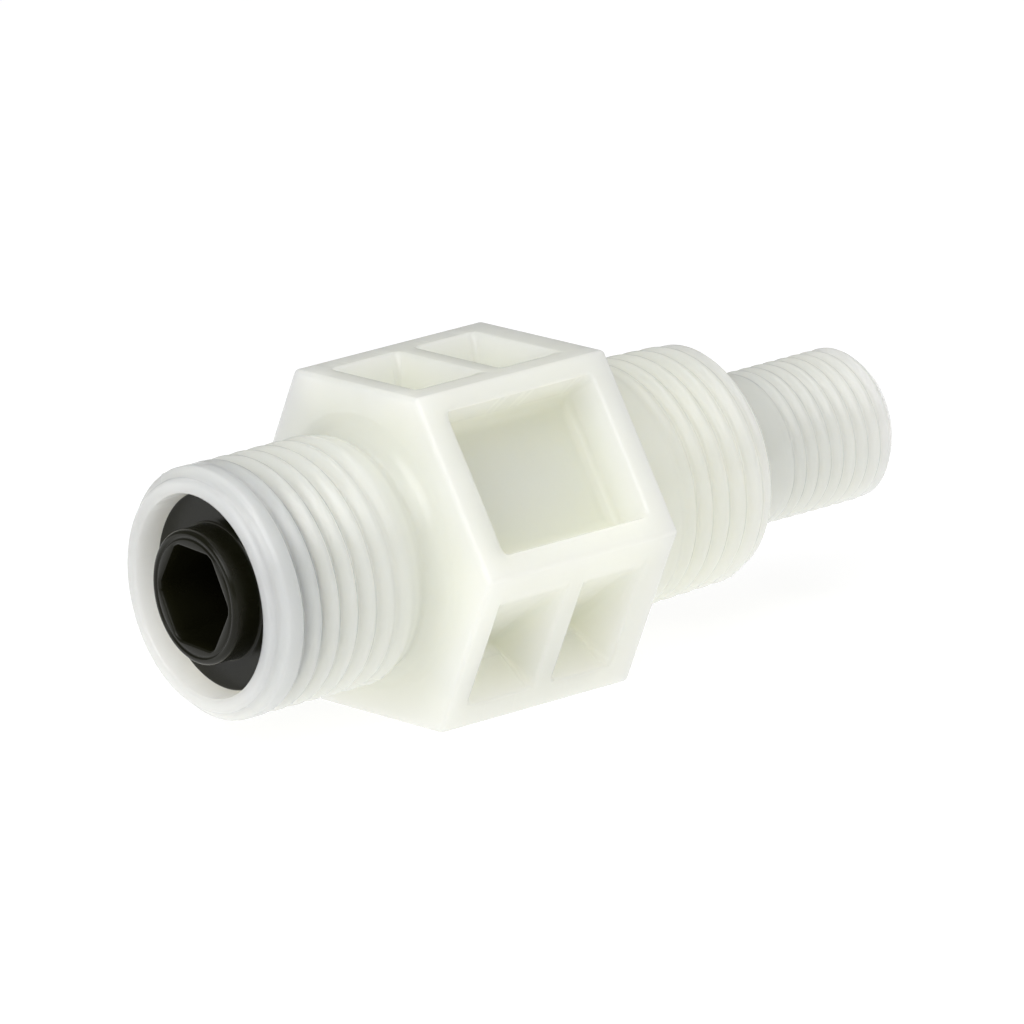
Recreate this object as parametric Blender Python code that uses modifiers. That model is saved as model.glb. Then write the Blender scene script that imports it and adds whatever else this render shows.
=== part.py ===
"""A stepped, threaded thru hull fitting with a spring-loaded ball check valve inside.

Every sub-part is modelled about a local Z axis that runs from the hose end to the tip. The empty
fitting_axis turns that axis onto world X and puts the middle of the whole length at the origin.
Axial positions (names ending in _Z) count from the hose-side face of the hexagon.
"""
import math

import bmesh
import bpy
from mathutils import Matrix

# Driving sizes, in metres
HEX_ACROSS_FLATS = 0.028
HEX_LENGTH = 0.0196
HEX_EDGE = 0.0005

NOSE_END_Z = -0.0172
NOSE_RADIUS = 0.0097
NOSE_EDGE = 0.0005
NOSE_BACK_Z = -0.0159

HOSE_THREAD_PITCH = 0.001814
HOSE_THREAD_CREST = 0.0105
HOSE_THREAD_DEPTH = 0.00105
HOSE_THREAD_START_Z = -0.0163
HOSE_THREAD_END_Z = -0.0022
HOSE_THREAD_TURN = math.radians(180)
SHOULDER_FILLET = 0.0027

HULL_THREAD_PITCH = 0.001814
HULL_THREAD_CREST = 0.0101
HULL_THREAD_TAPER = 1 / 32
HULL_THREAD_DEPTH = 0.001
HULL_THREAD_START_Z = 0.0236
HULL_THREAD_RUN_OUT = 0.002
HULL_THREAD_TURN = math.radians(-90)
HULL_END_Z = 0.0351
HULL_END_CHAMFER = 0.0009

TIP_THREAD_PITCH = 0.001337
TIP_THREAD_CREST = 0.0065
TIP_THREAD_DEPTH = 0.00075
TIP_THREAD_START_Z = 0.0386
TIP_THREAD_RUN_OUT = 0.001
TIP_END_Z = 0.0512
TIP_END_CHAMFER = 0.0009

# Pockets cored out of the hexagon's six flats
FLAT_WIDTH = HEX_ACROSS_FLATS / math.sqrt(3)
WIDE_POCKET_Z = (0.00245, HEX_LENGTH - 0.00215)
WIDE_POCKET_Y = (-FLAT_WIDTH / 2 + 0.0016, FLAT_WIDTH / 2 - 0.0019)
WIDE_POCKET_DEPTH = 0.0042
WIDE_POCKET_DRAFT = 0.0005
SPLIT_POCKETS_Z = ((0.00205, 0.0089), (0.0107, 0.0168))
SPLIT_POCKET_DEEP_Y = -FLAT_WIDTH / 2 + 0.0024
SPLIT_POCKET_SHALLOW_Y = FLAT_WIDTH / 2 - 0.0026
SPLIT_POCKET_DEPTH = 0.0055

# The stepped bore, from the hose end inwards
RECESS_RADIUS = 0.00845
RECESS_FLOOR_Z = -0.0116
FEMALE_BORE = 0.00645
FEMALE_CREST = 0.00565
FEMALE_END_Z = -0.0041
CHAMBER_RADIUS = 0.0053
CHAMBER_END_Z = 0.0066
SPRING_BORE = 0.0047
SPRING_SEAT_Z = 0.0163
OUTLET_RADIUS = 0.0032

# The screwed seat retainer
RETAINER_PITCH = 0.0015
RETAINER_CORE = 0.00535
RETAINER_CREST = 0.00615
RETAINER_THREAD_Z = (-0.0113, -0.0052)
RETAINER_END_Z = -0.0044
FLANGE_RADIUS = 0.00825
FLANGE_FACE_Z = -0.01503
FLANGE_THICKNESS = 0.0018
FLANGE_EDGE = 0.0002
BOSS_RADIUS = 0.0056
BOSS_END_Z = -0.01765
BOSS_EDGE = 0.0004
SOCKET_ACROSS_FLATS = 0.0081
SOCKET_FLOOR_Z = -0.0084
SOCKET_TURN = math.radians(4)
ORIFICE_RADIUS = 0.0026
SEAT_POCKET_RADIUS = 0.00425
SEAT_POCKET_DEPTH = 0.0006

# Seals, ball and spring
FLANGE_SEAL_WIRE = 0.00065
FLANGE_SEAL_RADIUS = 0.0065
SEAT_SEAL_WIRE = 0.0006
SEAT_SEAL_RADIUS = 0.0035
SEAT_SEAL_Z = RETAINER_END_Z + 0.0002
BALL_RADIUS = 0.0045
FREE_GAP = 0.00005
SPRING_WIRE = 0.00035
SPRING_RADIUS = 0.0033
SPRING_END_PITCH = 0.00085
SPRING_TURNS = 7
SPRING_TO_SEAT = 0.0005

# Thread form, as shares of the pitch
ROOT_HALF_WIDTH = 0.27
CREST_HALF_WIDTH = 0.1
START_FADE = 0.67
END_FADE = 2.0

# Mesh fineness
BODY_STEPS = 36
THREAD_STEPS = 18
SEAL_STEPS = 36
SEAL_WIRE_STEPS = 10
SPRING_STEPS = 18
EDGE_STEPS = 2
CORNER_STEPS = 3
BALL_STEPS = (28, 16)
MERGE_DISTANCE = 1e-6
EMBED = 0.0003
OVERSHOOT = 0.001


def clear_scene():
    for obj in list(bpy.data.objects):
        bpy.data.objects.remove(obj, do_unlink=True)


def new_collection(name, hidden=False):
    collection = bpy.data.collections.new(name)
    bpy.context.scene.collection.children.link(collection)
    collection.hide_render = hidden
    return collection


def new_material(name, colour, roughness, metallic=0.0):
    material = bpy.data.materials.new(name)
    material.use_nodes = True
    shader = material.node_tree.nodes["Principled BSDF"]
    shader.inputs["Base Color"].default_value = (*colour, 1.0)
    shader.inputs["Roughness"].default_value = roughness
    shader.inputs["Metallic"].default_value = metallic
    return material


def add_object(name, mesh, collection, axis, material=None):
    """An object of this mesh on the fitting's axis; a piece without a material is a cutter or a tool."""
    obj = bpy.data.objects.new(name, mesh)
    collection.objects.link(obj)
    obj.parent = axis
    if material:
        mesh.materials.append(material)
        mesh.shade_smooth()
        mesh.set_sharp_from_angle(angle=math.radians(30))
    else:
        obj.hide_render = True
        obj.display_type = "WIRE"
    return obj


def mesh_from(name, bm):
    mesh = bpy.data.meshes.new(name)
    bm.to_mesh(mesh)
    bm.free()
    return mesh


def mesh_from_curve(name, curve, collection):
    """The closed mesh of an extruded or bevelled curve."""
    guide = bpy.data.objects.new(name + "_guide", curve)
    collection.objects.link(guide)
    bpy.context.view_layer.update()
    graph = bpy.context.evaluated_depsgraph_get()
    swept = bpy.data.meshes.new_from_object(guide.evaluated_get(graph))
    bpy.data.objects.remove(guide, do_unlink=True)
    bm = bmesh.new()
    bm.from_mesh(swept)
    bpy.data.meshes.remove(swept)
    bmesh.ops.remove_doubles(bm, verts=bm.verts, dist=MERGE_DISTANCE)
    bmesh.ops.recalc_face_normals(bm, faces=bm.faces)
    return mesh_from(name, bm)


def turned(name, profile, collection, axis, material=None, steps=BODY_STEPS):
    """A solid of revolution; the profile's (radius, z) points run from the axis at the top down to the axis."""
    bm = bmesh.new()
    points = [bm.verts.new((radius, 0, z)) for radius, z in profile]
    for upper, lower in zip(points, points[1:]):
        bm.edges.new((upper, lower))
    obj = add_object(name, mesh_from(name, bm), collection, axis, material)
    screw = obj.modifiers.new("turn", "SCREW")
    screw.steps = steps
    screw.render_steps = steps
    screw.use_merge_vertices = True
    screw.merge_threshold = MERGE_DISTANCE
    return obj


def quarter_arc(centre, radius, start_degrees, end_degrees, steps=4):
    """Points of an arc in the (radius, z) plane."""
    angles = [
        math.radians(start_degrees + (end_degrees - start_degrees) * i / steps)
        for i in range(steps + 1)
    ]
    return [(centre[0] + radius * math.cos(a), centre[1] + radius * math.sin(a)) for a in angles]


def hexagon(name, across_flats, bottom, top, collection, axis):
    bm = bmesh.new()
    radius = across_flats / math.sqrt(3)
    bmesh.ops.create_cone(
        bm, cap_ends=True, segments=6, radius1=radius, radius2=radius, depth=top - bottom
    )
    bmesh.ops.translate(bm, verts=bm.verts, vec=(0, 0, (top + bottom) / 2))
    return add_object(name, mesh_from(name, bm), collection, axis)


def helical_ridge(name, base, tip, bottom, top, pitch, limit, collection, axis, phase=0.0):
    """A thread ridge from radius base to tip; limit(z) says how far out it may stand at z, for run-outs."""
    outward = 1 if tip > base else -1
    root_half = pitch * ROOT_HALF_WIDTH + EMBED / 2
    crest_half = pitch * CREST_HALF_WIDTH
    turns = (top - bottom) / pitch
    steps = round(turns * THREAD_STEPS)
    bm = bmesh.new()
    section = [
        (base - outward * EMBED, -root_half),
        (tip, -crest_half),
        (tip, crest_half),
        (base - outward * EMBED, root_half),
    ]
    corners = [bm.verts.new((radius, 0, bottom + z)) for radius, z in section]
    face = bm.faces.new(corners)
    bmesh.ops.spin(
        bm,
        geom=[face, *face.edges, *corners],
        cent=(0, 0, 0),
        axis=(0, 0, 1),
        dvec=(0, 0, (top - bottom) / steps),
        angle=turns * math.tau,
        steps=steps,
    )
    bmesh.ops.rotate(bm, verts=bm.verts, cent=(0, 0, 0), matrix=Matrix.Rotation(phase, 3, "Z"))
    least_crest = base - EMBED / 2
    for vert in bm.verts:
        radius = math.hypot(vert.co.x, vert.co.y)
        if radius > max(limit(vert.co.z), least_crest):
            kept = max(limit(vert.co.z), least_crest)
            vert.co.x *= kept / radius
            vert.co.y *= kept / radius
    bmesh.ops.recalc_face_normals(bm, faces=bm.faces)
    return add_object(name, mesh_from(name, bm), collection, axis)


def combine(obj, other, operation):
    boolean = obj.modifiers.new(f"{operation.lower()} {other.name}", "BOOLEAN")
    boolean.operation = operation
    boolean.object = other


def torus(name, wire, radius, z, collection, axis, material):
    bpy.ops.mesh.primitive_torus_add(
        major_radius=radius,
        minor_radius=wire,
        major_segments=SEAL_STEPS,
        minor_segments=SEAL_WIRE_STEPS,
    )
    made = bpy.context.object
    mesh = made.data
    bpy.data.objects.remove(made, do_unlink=True)
    mesh.name = name
    obj = add_object(name, mesh, collection, axis, material)
    obj.location.z = z
    return obj


def hull_crest(z):
    return HULL_THREAD_CREST + HULL_THREAD_TAPER * (HULL_END_Z - z)


def body_outline():
    """The turned outside of the body with the roots of its three threads, from the tip down."""
    tip_root = TIP_THREAD_CREST - TIP_THREAD_DEPTH
    tip_full = TIP_THREAD_START_Z + TIP_THREAD_RUN_OUT
    hull_full = HULL_THREAD_START_Z + HULL_THREAD_RUN_OUT
    hose_root = HOSE_THREAD_CREST - HOSE_THREAD_DEPTH
    fillet_centre = (hose_root + SHOULDER_FILLET, -SHOULDER_FILLET)
    nose_corner = (NOSE_RADIUS - NOSE_EDGE, NOSE_END_Z + NOSE_EDGE)
    outline = [
        (0, TIP_END_Z),
        (TIP_THREAD_CREST - TIP_END_CHAMFER, TIP_END_Z),
        (tip_root, TIP_END_Z - TIP_END_CHAMFER / 4),
        (tip_root, tip_full),
        (TIP_THREAD_CREST, TIP_THREAD_START_Z),
        (TIP_THREAD_CREST, HULL_END_Z),
        (hull_crest(HULL_END_Z) - HULL_THREAD_DEPTH, HULL_END_Z),
        (hull_crest(hull_full) - HULL_THREAD_DEPTH, hull_full),
        (hull_crest(HULL_THREAD_START_Z), HULL_THREAD_START_Z),
        (hull_crest(HEX_LENGTH), HEX_LENGTH),
        (hull_crest(HEX_LENGTH), HEX_LENGTH / 2),
        (hose_root + SHOULDER_FILLET, HEX_LENGTH / 2),
        *quarter_arc(fillet_centre, SHOULDER_FILLET, 90, 180),
        (hose_root, NOSE_BACK_Z),
        (NOSE_RADIUS, NOSE_BACK_Z - EMBED),
        *quarter_arc(nose_corner, NOSE_EDGE, 0, -90, steps=CORNER_STEPS),
        (0, NOSE_END_Z),
    ]
    return outline


def body_bore():
    """The stepped bore that is cut through the body, from the tip down."""
    return [
        (0, TIP_END_Z + OVERSHOOT),
        (OUTLET_RADIUS, TIP_END_Z + OVERSHOOT),
        (OUTLET_RADIUS, SPRING_SEAT_Z),
        (SPRING_BORE, SPRING_SEAT_Z),
        (SPRING_BORE, CHAMBER_END_Z + CHAMBER_RADIUS - SPRING_BORE),
        (CHAMBER_RADIUS, CHAMBER_END_Z),
        (CHAMBER_RADIUS, FEMALE_END_Z),
        (FEMALE_BORE, FEMALE_END_Z),
        (FEMALE_BORE, RECESS_FLOOR_Z),
        (RECESS_RADIUS, RECESS_FLOOR_Z),
        (RECESS_RADIUS, NOSE_END_Z - OVERSHOOT),
        (0, NOSE_END_Z - OVERSHOOT),
    ]


def pocket_cutter(name, outline, z_range, turn, collection, axis):
    """A prism along the axis; its (outward, sideways) outline is turned to face one flat of the hexagon."""
    curve = bpy.data.curves.new(name + "_outline", "CURVE")
    curve.dimensions = "2D"
    curve.fill_mode = "BOTH"
    curve.extrude = (z_range[1] - z_range[0]) / 2
    spline = curve.splines.new("POLY")
    spline.points.add(len(outline) - 1)
    for point, (outward, sideways) in zip(spline.points, outline):
        point.co = (outward, sideways, 0, 1)
    spline.use_cyclic_u = True
    cutter = add_object(name, mesh_from_curve(name, curve, collection), collection, axis)
    cutter.location.z = sum(z_range) / 2
    cutter.rotation_euler.z = turn
    return cutter


def wide_pocket_outline():
    """A flat-floored pocket with drafted sides."""
    flat = HEX_ACROSS_FLATS / 2
    low, high = WIDE_POCKET_Y
    return [
        (flat + OVERSHOOT, low),
        (flat - WIDE_POCKET_DEPTH, low + WIDE_POCKET_DRAFT),
        (flat - WIDE_POCKET_DEPTH, high - WIDE_POCKET_DRAFT),
        (flat + OVERSHOOT, high),
    ]


def split_pocket_outline(side):
    """A wedge that is deepest beside the parting corner and runs out to the flat on the other side."""
    flat = HEX_ACROSS_FLATS / 2
    width = SPLIT_POCKET_SHALLOW_Y - SPLIT_POCKET_DEEP_Y
    rise = SPLIT_POCKET_DEPTH / width
    return [
        (flat + OVERSHOOT, side * SPLIT_POCKET_DEEP_Y),
        (flat - SPLIT_POCKET_DEPTH, side * SPLIT_POCKET_DEEP_Y),
        (flat + OVERSHOOT, side * (SPLIT_POCKET_SHALLOW_Y + OVERSHOOT / rise)),
    ]


def cut_pockets(body, cutters, axis):
    """Wide pockets on two opposite flats and split ones on the other four, mirrored about the parting plane."""
    faces = (("split", 1), ("wide", 1), ("split", -1))
    for index in range(6):
        kind, side = faces[index % 3]
        turn = math.pi + index * math.radians(60)
        if kind == "wide":
            cells = [WIDE_POCKET_Z]
            outline = wide_pocket_outline()
        else:
            cells = SPLIT_POCKETS_Z
            outline = split_pocket_outline(side)
        for cell, z_range in enumerate(cells):
            name = f"{kind}_pocket_{index}_{cell}"
            combine(body, pocket_cutter(name, outline, z_range, turn, cutters, axis), "DIFFERENCE")


def hose_limit(z):
    """The hose thread rises quickly behind the nose and fades slowly into the shoulder."""
    from_start = (z - HOSE_THREAD_START_Z) / (START_FADE * HOSE_THREAD_PITCH)
    from_end = (HOSE_THREAD_END_Z - z) / (END_FADE * HOSE_THREAD_PITCH)
    share = min(1.0, max(0.0, min(from_start, from_end)))
    return HOSE_THREAD_CREST - HOSE_THREAD_DEPTH * (1 - share)


def hull_limit(z):
    return min(hull_crest(z), hull_crest(z) - HULL_END_CHAMFER + (HULL_END_Z - z))


def tip_limit(z):
    return min(TIP_THREAD_CREST, TIP_THREAD_CREST - TIP_END_CHAMFER + (TIP_END_Z - z))


def make_body(parts, cutters, axis, material):
    body = turned("valve_body", body_outline(), parts, axis, material)
    hex_block = hexagon("hex_block", HEX_ACROSS_FLATS, 0, HEX_LENGTH, cutters, axis)
    bevel = hex_block.modifiers.new("edges", "BEVEL")
    bevel.width = HEX_EDGE
    bevel.segments = EDGE_STEPS
    combine(body, hex_block, "UNION")
    combine(body, hose_ridge(cutters, axis), "UNION")
    combine(body, tip_ridge(cutters, axis), "UNION")
    combine(body, hull_ridge(cutters, axis), "UNION")
    cut_pockets(body, cutters, axis)
    combine(body, turned("stepped_bore", body_bore(), cutters, axis), "DIFFERENCE")
    combine(body, female_ridge(cutters, axis), "UNION")
    return body


def hose_ridge(cutters, axis):
    return helical_ridge(
        "hose_thread",
        HOSE_THREAD_CREST - HOSE_THREAD_DEPTH,
        HOSE_THREAD_CREST,
        HOSE_THREAD_START_Z + HOSE_THREAD_PITCH / 2,
        HOSE_THREAD_END_Z - HOSE_THREAD_PITCH / 2,
        HOSE_THREAD_PITCH,
        hose_limit,
        cutters,
        axis,
        phase=HOSE_THREAD_TURN,
    )


def tip_ridge(cutters, axis):
    return helical_ridge(
        "tip_thread",
        TIP_THREAD_CREST - TIP_THREAD_DEPTH,
        TIP_THREAD_CREST,
        TIP_THREAD_START_Z,
        TIP_END_Z - TIP_THREAD_PITCH / 2,
        TIP_THREAD_PITCH,
        tip_limit,
        cutters,
        axis,
    )


def hull_ridge(cutters, axis):
    """The tapered hull thread's ridge: a parallel ridge whose radius then follows the taper."""
    crest = hull_crest(HULL_THREAD_START_Z)
    ridge = helical_ridge(
        "hull_thread",
        crest - HULL_THREAD_DEPTH,
        crest,
        HULL_THREAD_START_Z + HULL_THREAD_PITCH / 4,
        HULL_END_Z - HULL_THREAD_PITCH / 2,
        HULL_THREAD_PITCH,
        lambda z: crest,
        cutters,
        axis,
        phase=HULL_THREAD_TURN,
    )
    for vert in ridge.data.vertices:
        radius = math.hypot(vert.co.x, vert.co.y)
        tapered = min(radius - crest + hull_crest(vert.co.z), hull_limit(vert.co.z))
        vert.co.x *= tapered / radius
        vert.co.y *= tapered / radius
    return ridge


def female_ridge(cutters, axis):
    bottom = RETAINER_THREAD_Z[0] + RETAINER_PITCH / 2
    return helical_ridge(
        "female_thread",
        FEMALE_BORE,
        FEMALE_CREST,
        bottom,
        FEMALE_END_Z - RETAINER_PITCH / 2,
        RETAINER_PITCH,
        lambda z: FEMALE_BORE + EMBED,
        cutters,
        axis,
        phase=thread_phase(bottom),
    )


def thread_phase(start):
    """Turns a female ridge that starts at this z to lie half a pitch away from the retainer's."""
    shift = (start - RETAINER_THREAD_Z[0]) / RETAINER_PITCH
    return math.tau * (shift + 0.5)


def make_retainer(parts, cutters, axis, material):
    flange_back = FLANGE_FACE_Z + FLANGE_THICKNESS
    boss_corner = (BOSS_RADIUS - BOSS_EDGE, BOSS_END_Z + BOSS_EDGE)
    outline = [
        (0, RETAINER_END_Z),
        (RETAINER_CORE - FLANGE_EDGE, RETAINER_END_Z),
        (RETAINER_CORE, RETAINER_END_Z - FLANGE_EDGE),
        (RETAINER_CORE, flange_back),
        (FLANGE_RADIUS - FLANGE_EDGE, flange_back),
        (FLANGE_RADIUS, flange_back - FLANGE_EDGE),
        (FLANGE_RADIUS, FLANGE_FACE_Z + FLANGE_EDGE),
        (FLANGE_RADIUS - FLANGE_EDGE, FLANGE_FACE_Z),
        (BOSS_RADIUS, FLANGE_FACE_Z),
        *quarter_arc(boss_corner, BOSS_EDGE, 0, -90, steps=CORNER_STEPS),
        (0, BOSS_END_Z),
    ]
    retainer = turned("seat_retainer", outline, parts, axis, material)
    bottom, top = RETAINER_THREAD_Z
    ridge = helical_ridge(
        "retainer_thread",
        RETAINER_CORE,
        RETAINER_CREST,
        bottom,
        top,
        RETAINER_PITCH,
        lambda z: RETAINER_CREST,
        cutters,
        axis,
    )
    combine(retainer, ridge, "UNION")
    mouth = BOSS_END_Z - OVERSHOOT
    socket = hexagon("hex_socket", SOCKET_ACROSS_FLATS, mouth, SOCKET_FLOOR_Z, cutters, axis)
    socket.rotation_euler.z = SOCKET_TURN
    combine(retainer, socket, "DIFFERENCE")
    flow_path = [
        (0, RETAINER_END_Z + OVERSHOOT),
        (SEAT_POCKET_RADIUS, RETAINER_END_Z + OVERSHOOT),
        (SEAT_POCKET_RADIUS, RETAINER_END_Z - SEAT_POCKET_DEPTH),
        (ORIFICE_RADIUS, RETAINER_END_Z - SEAT_POCKET_DEPTH),
        (ORIFICE_RADIUS, SOCKET_FLOOR_Z - OVERSHOOT),
        (0, SOCKET_FLOOR_Z - OVERSHOOT),
    ]
    combine(retainer, turned("orifice", flow_path, cutters, axis, steps=SEAL_STEPS), "DIFFERENCE")
    return retainer


def ball_centre():
    """The ball's centre on the axis when it rests against the seat seal."""
    reach = BALL_RADIUS + SEAT_SEAL_WIRE + FREE_GAP
    return SEAT_SEAL_Z + math.sqrt(reach**2 - SEAT_SEAL_RADIUS**2)


def make_ball(parts, axis, material):
    bm = bmesh.new()
    around, up = BALL_STEPS
    bmesh.ops.create_uvsphere(bm, u_segments=around, v_segments=up, radius=BALL_RADIUS)
    ball = add_object("check_ball", mesh_from("check_ball", bm), parts, axis, material)
    ball.location.z = ball_centre()
    return ball


def spring_point(turn, low, high):
    """The coil's centre line: one closed turn at each end and an even pitch between."""
    open_pitch = (high - low - 2 * SPRING_END_PITCH) / (SPRING_TURNS - 2)
    if turn < 1:
        z = low + turn * SPRING_END_PITCH
    elif turn > SPRING_TURNS - 1:
        z = high - (SPRING_TURNS - turn) * SPRING_END_PITCH
    else:
        z = low + SPRING_END_PITCH + (turn - 1) * open_pitch
    angle = turn * math.tau
    return SPRING_RADIUS * math.cos(angle), SPRING_RADIUS * math.sin(angle), z


def make_spring(parts, axis, material):
    reach = BALL_RADIUS + SPRING_WIRE + FREE_GAP
    low = ball_centre() + math.sqrt(reach**2 - SPRING_RADIUS**2)
    high = SPRING_SEAT_Z - SPRING_TO_SEAT
    curve = bpy.data.curves.new("spring_path", "CURVE")
    curve.dimensions = "3D"
    curve.bevel_depth = SPRING_WIRE
    curve.bevel_resolution = 1
    curve.use_fill_caps = True
    spline = curve.splines.new("POLY")
    spline.points.add(SPRING_TURNS * SPRING_STEPS)
    for index, point in enumerate(spline.points):
        point.co = (*spring_point(index / SPRING_STEPS, low, high), 1)
    mesh = mesh_from_curve("return_spring", curve, parts)
    return add_object("return_spring", mesh, parts, axis, material)


def main():
    clear_scene()
    parts = new_collection("thru_hull_fitting")
    cutters = new_collection("cutters", hidden=True)
    axis = bpy.data.objects.new("fitting_axis", None)
    parts.objects.link(axis)
    axis.rotation_euler.y = math.radians(90)
    axis.location.x = -(BOSS_END_Z + TIP_END_Z) / 2

    milky_plastic = new_material("milky_plastic", (0.82, 0.83, 0.78), 0.35)
    black_plastic = new_material("black_plastic", (0.02, 0.02, 0.018), 0.3)
    black_rubber = new_material("black_rubber", (0.03, 0.03, 0.03), 0.6)
    white_ceramic = new_material("white_ceramic", (0.88, 0.87, 0.83), 0.15)
    spring_steel = new_material("spring_steel", (0.6, 0.6, 0.58), 0.25, metallic=1.0)

    make_body(parts, cutters, axis, milky_plastic)
    make_retainer(parts, cutters, axis, black_plastic)
    flange_seal_z = FLANGE_FACE_Z + FLANGE_THICKNESS + FLANGE_SEAL_WIRE + FREE_GAP
    torus("retainer_o_ring", FLANGE_SEAL_WIRE, FLANGE_SEAL_RADIUS, flange_seal_z, parts, axis, black_rubber)
    torus("seat_o_ring", SEAT_SEAL_WIRE, SEAT_SEAL_RADIUS, SEAT_SEAL_Z, parts, axis, black_rubber)
    make_ball(parts, axis, white_ceramic)
    make_spring(parts, axis, spring_steel)


main()
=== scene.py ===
"""The looks of the threaded thru hull fitting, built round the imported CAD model.

The fitting lies along X with its black seat insert at the low end. Fine meshes replace the CAD nodes: each is
one closed surface, lofted from rings of points about the axis. Lengths in this file are millimetres along the
axis from the hexagon's hose-side face unless a name says otherwise, and become metres when a mesh is made.
"""
import math

import bpy
import numpy as np
from mathutils import Matrix, Vector


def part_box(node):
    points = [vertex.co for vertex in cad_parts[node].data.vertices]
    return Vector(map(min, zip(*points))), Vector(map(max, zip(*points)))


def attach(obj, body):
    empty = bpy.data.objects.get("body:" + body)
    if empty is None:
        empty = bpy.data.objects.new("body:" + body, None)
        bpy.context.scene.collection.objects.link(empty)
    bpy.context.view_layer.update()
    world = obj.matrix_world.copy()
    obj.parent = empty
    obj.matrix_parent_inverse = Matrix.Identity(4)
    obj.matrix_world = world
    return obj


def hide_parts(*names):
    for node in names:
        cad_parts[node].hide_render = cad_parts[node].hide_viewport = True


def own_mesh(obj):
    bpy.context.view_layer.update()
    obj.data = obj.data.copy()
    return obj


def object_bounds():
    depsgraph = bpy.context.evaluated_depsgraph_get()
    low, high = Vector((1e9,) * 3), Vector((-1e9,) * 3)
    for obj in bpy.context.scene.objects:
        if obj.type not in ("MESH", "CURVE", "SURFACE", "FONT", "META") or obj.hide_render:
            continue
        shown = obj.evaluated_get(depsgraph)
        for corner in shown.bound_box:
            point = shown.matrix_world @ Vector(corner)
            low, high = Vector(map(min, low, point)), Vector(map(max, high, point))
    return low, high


MM = 0.001
TAU = math.tau

# The body, in millimetres
FLAT = 14.0
HEX_LENGTH = 19.6
HALF_FLAT = FLAT * math.tan(math.radians(30))
CORNER_RADIUS = 0.55
END_EDGE = 0.4
NOSE_END = -17.2
NOSE_RADIUS = 9.7
NOSE_EDGE = 0.45
NOSE_BACK = -16.55
HOSE_PITCH = 1.814
HOSE_CREST = 10.5
HOSE_DEPTH = 0.95
HOSE_START = -16.08
HOSE_LEAD = 0.6
HOSE_END = -1.0
HOSE_FADE = 2.7
GROOVE_FADE = 9.0
FIRST_GROOVE = math.radians(110)
SHOULDER_FILLET = 2.7
SHOULDER_BLEND = 0.12
HULL_PITCH = 1.814
HULL_CREST = 10.1
HULL_TAPER = 1 / 32
HULL_DEPTH = 0.62
HULL_START = 23.6
HULL_END = 35.1
HULL_FADE = 3.5
HULL_CHAMFER = 0.9
HULL_CHAMFER_ROUNDING = 0.12
HULL_FILLET = 0.35
TIP_PITCH = 1.337
TIP_CREST = 6.5
TIP_DEPTH = 0.46
TIP_START = 38.6
TIP_END = 51.2
TIP_FADE = 2.0
TIP_CHAMFER = 0.9
TIP_CHAMFER_ROUNDING = 0.1
NECK_FILLET = 0.3
PARTING_RIDGE = 0.04
TIP_PARTING_RIDGE = 0.03
RECESS_RADIUS = 8.45
RECESS_FLOOR = -11.6
FEMALE_BORE = 6.45
FEMALE_DEPTH = 0.8
FEMALE_END = -4.1
CHAMBER_RADIUS = 5.3
CHAMBER_END = 6.6
SPRING_BORE = 4.7
SPRING_SEAT = 16.3
OUTLET_RADIUS = 3.2

# Thread form, as shares of the depth: how soft the roots and crests are, how high the flanks
# would meet above a crest's middle, and how far a flank falls over one pitch
ROOT_ROUNDING = 0.5
CREST_ROUNDING = 0.16
FLANK_TOP = 1.25
FLANK_FALL = 3

# Rings of points in one turn of each thread
TIP_RINGS = 8
HULL_RINGS = 9
HOSE_RINGS = 11
FEMALE_RINGS = 6
RETAINER_RINGS = 12

# Pockets in the flats
WIDE_Z = (2.45, 17.45)
WIDE_S = (-HALF_FLAT + 1.6, HALF_FLAT - 1.9)
WIDE_DEPTH = 4.2
SPLIT_Z = ((2.05, 8.9), (10.7, 16.8))
SPLIT_DEEP_S = -HALF_FLAT + 2.4
SPLIT_SHALLOW_S = HALF_FLAT - 2.6
SPLIT_DEPTH = 5.5
WALL_DRAFT = math.radians(6.5)
MOUTH_RADIUS = 0.3
FLOOR_RADIUS = 1.25
PLAN_RADIUS = 0.7
RUN_OUT = 0.35

# The insert
RETAINER_PITCH = 1.5
RETAINER_CORE = 5.35
RETAINER_DEPTH = 0.8
RETAINER_THREAD = (-11.3, -5.2)
RETAINER_END = -4.4
FLANGE_RADIUS = 8.25
FLANGE_FACE = -15.03
FLANGE_BACK = -13.23
BOSS_RADIUS = 5.6
BOSS_END = -17.65
BOSS_EDGE = 0.4
GROOVE_RADIUS = 4.93
GROOVE_HALF_WIDTH = 0.16
GROOVE_SINK = 0.09
SOCKET_APOTHEM = 4.05
SOCKET_FLOOR = -8.4
SOCKET_TURN = math.radians(4)
SOCKET_CORNER = 0.2
ORIFICE = 2.6
SEAT_POCKET = 4.25
SEAT_POCKET_DEPTH = 0.6

# Seals, ball and spring
FLANGE_SEAL = (6.5, 0.65, FLANGE_BACK + 0.7)
SEAT_SEAL = (3.5, 0.6, -4.2)
BALL_RADIUS = 4.5
SPRING_WIRE = 0.35
SPRING_RADIUS = 3.3
SPRING_TURNS = 7
SPRING_END_PITCH = 0.85
SPRING_GROUND = 0.62

# The camera's lens in mm, its place and aim in metres and its sideways direction,
# and the table's half size in metres, its glow and the strength of the light all round
CAMERA_LENS = 404.3
CAMERA_EYE = (-0.55530, -0.72333, 0.23987)
CAMERA_AIM = (-0.006806, -0.006697, 0.002195)
CAMERA_RIGHT = (0.788, -0.611, -0.073)
TABLE_HALF = 6.0
TABLE_GLOW = 0.84
ROOM_LIGHT = 0.2

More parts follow.
